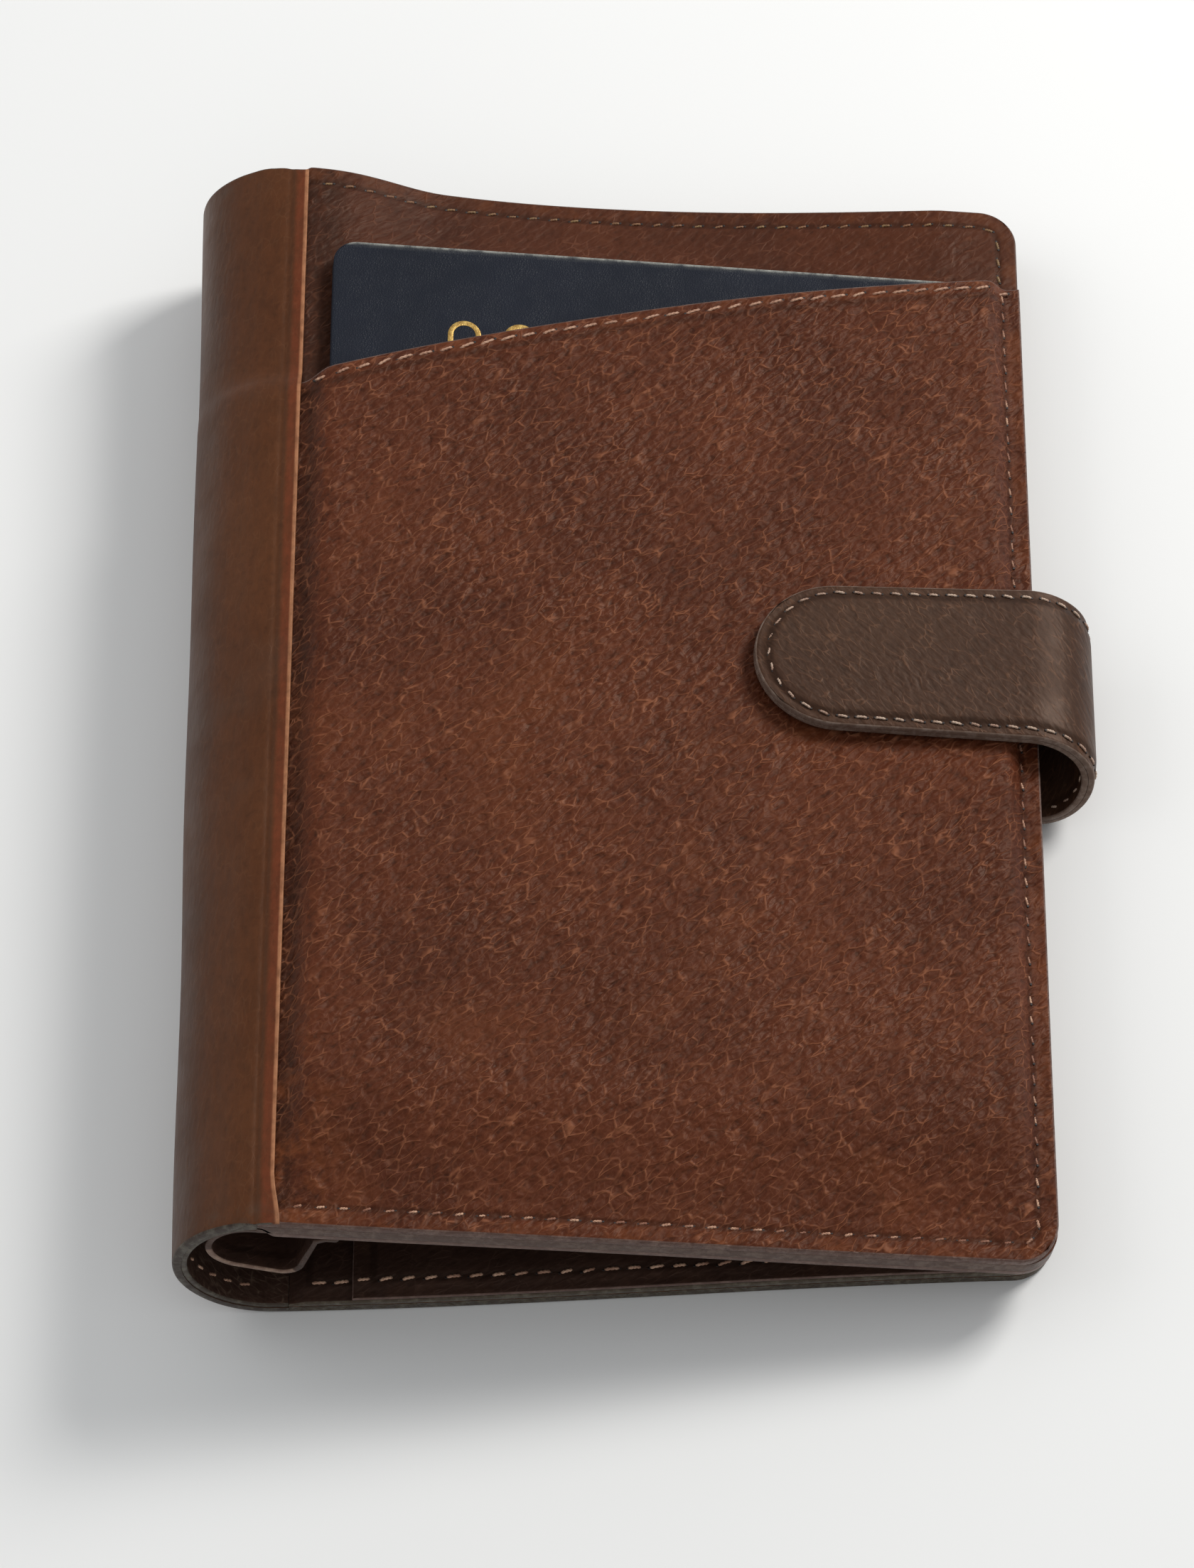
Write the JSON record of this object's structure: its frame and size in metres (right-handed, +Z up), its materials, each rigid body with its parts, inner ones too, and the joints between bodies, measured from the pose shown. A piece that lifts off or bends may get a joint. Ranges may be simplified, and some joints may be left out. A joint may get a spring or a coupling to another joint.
{
  "type": "passport holder",
  "caption": "Leather passport holder: flat covers on a round spine, an outside passport pocket with a booklet in it, inner slots, a pen loop and a magnetic strap.",
  "frame": {"origin": "middle of the footprint, on the table under the back cover", "axes": "+X from the spine to the fore edge, +Y from the bottom edge to the top edge, +Z up out of the table"},
  "size_m": [0.1176, 0.1586, 0.0284],
  "materials": {
    "cover_leather": "pebbled, satin",
    "spine_leather": "smooth, satin",
    "strap_leather": "smooth, satin",
    "lining_leather": "smooth, matt",
    "board": "matt fibre board",
    "pocket_fabric": "plain weave",
    "thread": "waxed twist",
    "olive_thread": "waxed twist",
    "steel": "plated",
    "booklet_cover": "bookcloth",
    "booklet_pages": "paper"
  },
  "bodies": {
    "back": {"back_cover": "cover_leather", "back_board": "board", "back_lining": "lining_leather", "document_pocket": "lining_leather", "spine_cover": "spine_leather", "spine_lining": "lining_leather", "back_edge_thread": "thread"},
    "front_cover": {"front_cover": "cover_leather", "front_board": "board", "front_lining": "lining_leather", "card_slot_1": "lining_leather", "card_slot_2": "lining_leather", "card_slot_3": "lining_leather", "passport_pocket": "cover_leather", "pocket_lining": "pocket_fabric", "closure_plate": "steel", "pen_loop": "lining_leather", "pocket_edge_thread": "thread", "cover_edge_thread": "olive_thread", "pocket_mouth_thread": "thread"},
    "strap": {"strap_leather": "strap_leather", "strap_core": "board", "strap_lining": "strap_leather", "strap_magnet": "steel", "strap_thread": "thread"},
    "passport": {"passport_cover": "booklet_cover", "passport_pages": "booklet_pages"}
  },
  "joints": [
    {"name": "cover_fold", "type": "hinge", "parent": "back", "child": "front_cover", "pos_m": [-0.0588, 0, 0.0154], "axis": [0, -1, 0], "range_deg": [0, 189], "deforming": ["spine_cover", "spine_lining"]},
    {"name": "strap_fold", "type": "hinge", "parent": "back", "child": "strap", "pos_m": [0.0578, 0, 0.0082], "axis": [0, 1, 0], "range_deg": [0, 170], "deforming": ["strap_leather", "strap_core", "strap_lining", "strap_magnet", "strap_thread"]},
    {"name": "passport_slide", "type": "slide", "parent": "front_cover", "child": "passport", "axis": [0, 1, 0], "range_m": [0, 0.14]}
  ]
}
